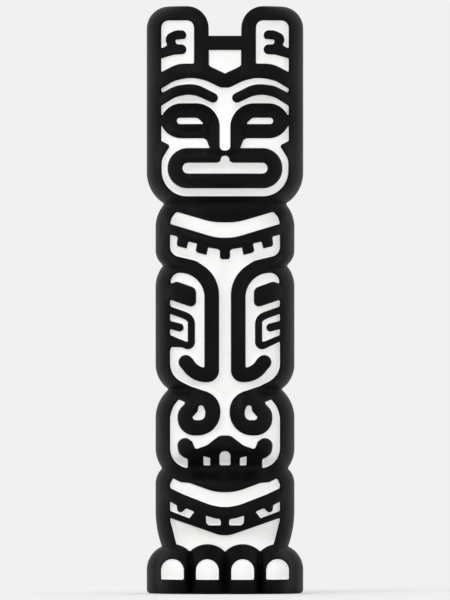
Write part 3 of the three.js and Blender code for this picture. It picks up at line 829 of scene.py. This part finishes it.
# ---------------------------------------------------------------- materials
def new_material(name):
    """A material with its nodes, links, shader, and the place in the object in metres."""
    material = bpy.data.materials.new(name)
    material.use_nodes = True
    nodes, links = material.node_tree.nodes, material.node_tree.links
    shader = nodes["Principled BSDF"]
    place = nodes.new("ShaderNodeTexCoord").outputs["Object"]
    return material, nodes, links, shader, place


def stretched(nodes, links, place, scale):
    """A place for patterns that run along the grain."""
    mapping = nodes.new("ShaderNodeMapping")
    mapping.inputs["Scale"].default_value = scale
    links.new(place, mapping.inputs["Vector"])
    return mapping.outputs["Vector"]


def noise(nodes, links, vector, scale, detail=4.0, roughness=0.55, distortion=0.0):
    node = nodes.new("ShaderNodeTexNoise")
    links.new(vector, node.inputs["Vector"])
    node.inputs["Scale"].default_value = scale
    node.inputs["Detail"].default_value = detail
    node.inputs["Roughness"].default_value = roughness
    node.inputs["Distortion"].default_value = distortion
    return node.outputs["Fac"]


def ramp(nodes, links, value, stops):
    """A colour for a value, from (position, colour) stops."""
    node = nodes.new("ShaderNodeValToRGB")
    links.new(value, node.inputs["Fac"])
    elements = node.color_ramp.elements
    while len(elements) < len(stops):
        elements.new(0.5)
    for element, (position, colour) in zip(elements, stops):
        element.position = position
        element.color = (*colour, 1)
    return node.outputs["Color"]


def mix(nodes, links, amount, first, second):
    node = nodes.new("ShaderNodeMix")
    node.data_type = "RGBA"
    links.new(amount, node.inputs["Factor"])
    links.new(first, node.inputs["A"])
    links.new(second, node.inputs["B"])
    return node.outputs["Result"]


def bumped(nodes, links, shader, layers):
    """Stacks (height, strength, distance) layers of bump on the shader."""
    normal = None
    for height, strength, distance in layers:
        bump = nodes.new("ShaderNodeBump")
        bump.inputs["Strength"].default_value = strength
        bump.inputs["Distance"].default_value = distance
        links.new(height, bump.inputs["Height"])
        if normal is not None:
            links.new(normal, bump.inputs["Normal"])
        normal = bump.outputs["Normal"]
    links.new(normal, shader.inputs["Normal"])


def grey(level):
    return (level, level, level)


def black_paint():
    """Matt black, a little worn: the grain lifts through it, and thinner patches are a shade lighter."""
    material, nodes, links, shader, place = new_material("black_paint")
    grain = noise(nodes, links, stretched(nodes, links, place, (1, 1, 0.06)), 160, 5)
    patch = noise(nodes, links, place, 5, 3)
    colour = ramp(nodes, links, patch, [(0.35, (0.0012, 0.0012, 0.0014)), (0.7, (0.0034, 0.0033, 0.0032))])
    links.new(colour, shader.inputs["Base Color"])
    rough = ramp(nodes, links, grain, [(0.3, grey(0.42)), (0.7, grey(0.56))])
    links.new(rough, shader.inputs["Roughness"])
    shader.inputs["Specular IOR Level"].default_value = 0.08
    bumped(nodes, links, shader, [(grain, 0.3, 0.0012), (noise(nodes, links, place, 22, 2), 0.2, 0.004)])
    return material


def white_paint():
    """Off-white, with the grain showing through in thinner patches."""
    material, nodes, links, shader, place = new_material("white_paint")
    grain = noise(nodes, links, stretched(nodes, links, place, (1, 1, 0.05)), 130, 6)
    patch = noise(nodes, links, place, 4, 4)
    base = ramp(nodes, links, patch, [(0.3, (0.83, 0.826, 0.81)), (0.7, (0.885, 0.883, 0.874))])
    streak = ramp(nodes, links, grain, [(0.28, (0.72, 0.71, 0.68)), (0.46, (0.885, 0.883, 0.874))])
    amount = ramp(nodes, links, noise(nodes, links, place, 9, 3), [(0.4, grey(0.15)), (0.75, grey(0.5))])
    links.new(mix(nodes, links, amount, base, streak), shader.inputs["Base Color"])
    shader.inputs["Roughness"].default_value = 0.72
    shader.inputs["Specular IOR Level"].default_value = 0.3
    bumped(nodes, links, shader, [(grain, 0.3, 0.0012), (noise(nodes, links, place, 18, 2), 0.2, 0.004)])
    return material


def bare_cedar():
    """Cedar under a coat of lime that is thicker in some places than in others."""
    material, nodes, links, shader, place = new_material("limed_cedar")
    rings = noise(nodes, links, stretched(nodes, links, place, (1, 1, 0.035)), 70, 7, 0.6, 0.3)
    patch = noise(nodes, links, stretched(nodes, links, place, (1, 1, 0.4)), 5, 4)
    wood = ramp(nodes, links, rings, [
        (0.25, (0.30, 0.225, 0.155)), (0.5, (0.50, 0.41, 0.31)), (0.75, (0.62, 0.54, 0.43)),
    ])
    lime = ramp(nodes, links, rings, [(0.3, (0.62, 0.59, 0.53)), (0.7, (0.76, 0.74, 0.69))])
    amount = ramp(nodes, links, patch, [(0.35, grey(0.35)), (0.65, grey(0.85))])
    links.new(mix(nodes, links, amount, wood, lime), shader.inputs["Base Color"])
    shader.inputs["Roughness"].default_value = 0.82
    shader.inputs["Specular IOR Level"].default_value = 0.25
    bumped(nodes, links, shader, [(rings, 0.45, 0.002)])
    return material


# ---------------------------------------------------------------- the pole
materials = [black_paint(), white_paint(), bare_cedar()]
vertices, faces, slots = pole_mesh()
pole = object_of("carved_pole", vertices, faces, slots, materials)
shape_ears(pole, materials)
paint_ears(pole)
shade_smooth(pole)
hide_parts("totem_pole")
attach(pole, "root")


# ---------------------------------------------------------------- floor, light and camera
PAPER = 0.875  # the pale surround, linear
FLOOR_RADIUS = 6
FLOOR_END = 2.6  # metres from the pole where the floor has become one with the surround
FADE_START = 0.3  # share of that distance where it starts to


def make_floor():
    """A plain pale floor that passes into the surround without an edge."""
    bpy.ops.mesh.primitive_circle_add(
        vertices=128, radius=FLOOR_RADIUS, fill_type="NGON", location=(0, 0, low.z),
    )
    floor = bpy.context.object
    floor.name = "floor"
    material, nodes, links, shader, place = new_material("floor")
    shader.inputs["Base Color"].default_value = (0.86, 0.86, 0.86, 1)
    shader.inputs["Roughness"].default_value = 0.9
    away = nodes.new("ShaderNodeVectorMath")
    away.operation = "LENGTH"
    links.new(place, away.inputs[0])
    share = nodes.new("ShaderNodeMath")
    share.operation = "DIVIDE"
    share.inputs[1].default_value = FLOOR_END
    links.new(away.outputs["Value"], share.inputs[0])
    far = ramp(nodes, links, share.outputs["Value"], [(FADE_START, grey(0)), (1, grey(1))])
    glow = nodes.new("ShaderNodeEmission")
    glow.inputs["Color"].default_value = (PAPER, PAPER, PAPER, 1)
    blend = nodes.new("ShaderNodeMixShader")
    links.new(far, blend.inputs["Fac"])
    links.new(shader.outputs["BSDF"], blend.inputs[1])
    links.new(glow.outputs["Emission"], blend.inputs[2])
    links.new(blend.outputs["Shader"], nodes["Material Output"].inputs["Surface"])
    floor.data.materials.append(material)


def sun(name, turn, rise, strength, softness):
    """A sun that shines from turn degrees to the right of the front and rise degrees up."""
    light = bpy.data.lights.new(name, "SUN")
    light.energy, light.angle = strength, math.radians(softness)
    thing = bpy.data.objects.new(name, light)
    thing.rotation_euler = (math.radians(90 - rise), 0, math.radians(turn))
    bpy.context.scene.collection.objects.link(thing)


def make_light():
    """Plain soft studio light, with the surround as its fill."""
    world = bpy.data.worlds.new("surround")
    world.use_nodes = True
    background = world.node_tree.nodes["Background"]
    background.inputs["Color"].default_value = (PAPER, PAPER, PAPER, 1)
    background.inputs["Strength"].default_value = 1.0
    bpy.context.scene.world = world
    sun("key", -38, 42, 0.7, 25)
    sun("fill", 50, 20, 0.2, 60)
    sun("front", 8, 5, 0.26, 40)


def make_camera():
    """Face on, and so far away that the picture is flat, as the drawing is."""
    view_height = 3.0633  # metres that the frame is high at the carved front
    eye_height = 1.4995  # above the floor
    distance = 100
    carved_front = -0.2
    camera = bpy.data.cameras.new("camera")
    camera.sensor_width = 36
    camera.lens = camera.sensor_width * distance / view_height
    camera.clip_end = 2 * distance
    thing = bpy.data.objects.new("camera", camera)
    thing.location = (0, carved_front - distance, low.z + eye_height)
    thing.rotation_euler = (math.pi / 2, 0, 0)
    bpy.context.scene.collection.objects.link(thing)
    bpy.context.scene.camera = thing


make_floor()
make_light()
make_camera()
bpy.context.scene.view_settings.view_transform = "Standard"
